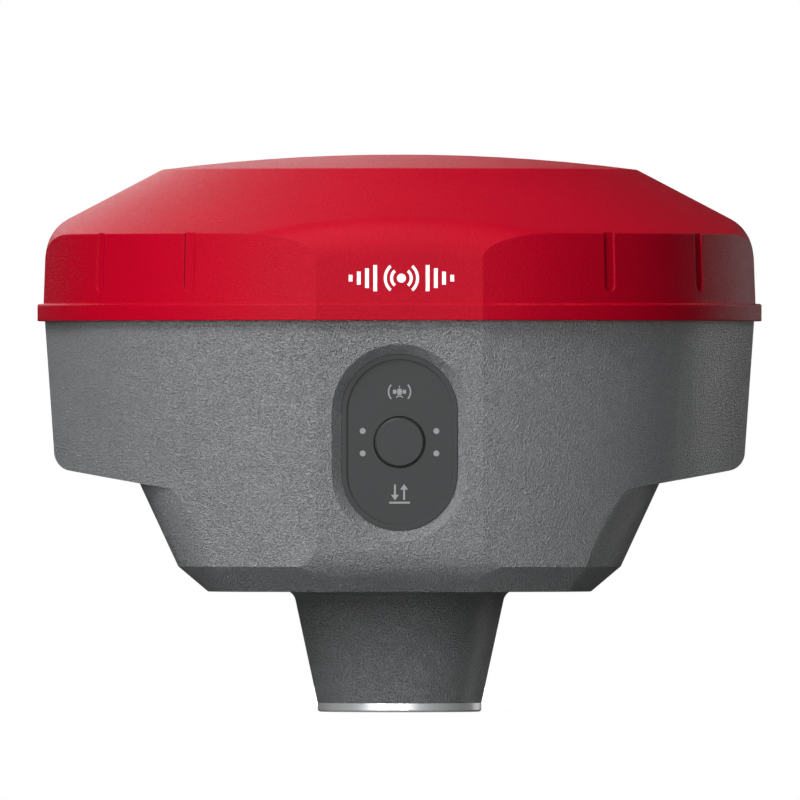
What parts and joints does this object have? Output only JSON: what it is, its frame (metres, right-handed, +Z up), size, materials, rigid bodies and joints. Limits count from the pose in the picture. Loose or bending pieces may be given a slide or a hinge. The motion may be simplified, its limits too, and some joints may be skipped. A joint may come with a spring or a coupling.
{
  "type": "gnss receiver",
  "caption": "Pole-mounted satellite positioning receiver with a grey housing, red radome cover, front control panel, hinged battery door and port flaps.",
  "frame": {"origin": "centre of the pole ring's seat, under the middle of the bounding box", "axes": "+Z up along the pole axis; the control panel faces -Y and the battery door +Y; +X is to the right seen from the panel"},
  "size_m": [0.156, 0.156, 0.1203],
  "materials": {
    "housing_grey": "fine spark-eroded grain",
    "cover_red": "satin moulded",
    "panel_dark": "fine satin",
    "button_dark": "satin, printed ring",
    "lens_clear": "frosted light pipe",
    "polished_metal": "turned and polished",
    "screw_steel": "plain zinc steel",
    "black_rubber": "moulded",
    "flap_rubber": "fine grain",
    "bay_plastic": "moulded",
    "battery_wrap": "smooth wrap",
    "tab_fabric": "woven ribbon",
    "board_green": "solder mask",
    "antenna_laminate": "ceramic-filled laminate",
    "copper": "gold-flashed copper",
    "shield_tin": "pressed tin plate",
    "plate_aluminium": "clear anodised",
    "socket_metal": "nickel plated",
    "jack_gold": "gold plated",
    "part_plastic": "moulded",
    "cable_black": "extruded sheath",
    "ribbon_film": "polyimide film",
    "label_blank": "blank matt foil"
  },
  "bodies": {
    "receiver": {"lower_housing": "housing_grey", "pole_neck": "housing_grey", "radome_cover": "cover_red", "cover_gasket": "black_rubber", "cover_screws": "screw_steel", "pole_thread_insert": "polished_metal", "insert_screws": "screw_steel", "control_panel": "panel_dark", "indicator_lenses": "lens_clear", "button_membrane": "black_rubber", "tact_switch": "part_plastic", "panel_board": "board_green", "panel_screws": "screw_steel", "battery_tray": "bay_plastic", "battery_pack": "battery_wrap", "battery_pull_tab": "tab_fabric", "battery_contacts": "part_plastic", "door_hinge_pin": "screw_steel", "left_flap_pin": "screw_steel", "right_flap_pin": "screw_steel", "data_socket": "socket_metal", "power_socket": "socket_metal", "radio_antenna_socket": "jack_gold", "sim_card_holder": "part_plastic", "rating_label": "label_blank", "breather_vent": "part_plastic", "main_board": "board_green", "gnss_module": "shield_tin", "radio_module": "shield_tin", "cellular_module": "shield_tin", "wireless_module": "shield_tin", "clock_battery": "socket_metal", "buzzer": "part_plastic", "board_connectors": "label_blank", "antenna_plate": "plate_aluminium", "antenna_feed_board": "board_green", "antenna_lower_patch": "antenna_laminate", "antenna_upper_patch": "antenna_laminate", "antenna_radiators": "copper", "antenna_center_screw": "screw_steel", "antenna_standoffs": "jack_gold", "antenna_plate_screws": "screw_steel", "lna_shield_can": "shield_tin", "battery_lead": "cable_black", "antenna_coax": "cable_black", "radio_coax": "cable_black", "data_lead": "cable_black", "panel_ribbon": "ribbon_film"},
    "power_button": {"power_button": "button_dark"},
    "battery_door": {"battery_door": "housing_grey", "door_gasket": "black_rubber"},
    "door_lock": {"door_lock": "flap_rubber"},
    "left_port_flap": {"left_port_flap": "flap_rubber"},
    "right_port_flap": {"right_port_flap": "flap_rubber"}
  },
  "joints": [
    {"name": "power_button_press", "type": "slide", "parent": "receiver", "child": "power_button", "axis": [0, 0.9975, 0.0701], "range_m": [0, 0.0007], "stiffness_N_per_m": 800},
    {"name": "battery_door_hinge", "type": "hinge", "parent": "receiver", "child": "battery_door", "pos_m": [0, 0.0726, 0.0322], "axis": [-1, 0, 0], "range_deg": [0, 100]},
    {"name": "door_lock_slide", "type": "slide", "parent": "battery_door", "child": "door_lock", "axis": [0, 0, 1], "range_m": [0, 0.0025]},
    {"name": "left_flap_hinge", "type": "hinge", "parent": "receiver", "child": "left_port_flap", "pos_m": [-0.0382, 0, 0.0275], "axis": [0, 1, 0], "range_deg": [0, 90]},
    {"name": "right_flap_hinge", "type": "hinge", "parent": "receiver", "child": "right_port_flap", "pos_m": [0.0382, 0, 0.0275], "axis": [0, -1, 0], "range_deg": [0, 90]}
  ]
}
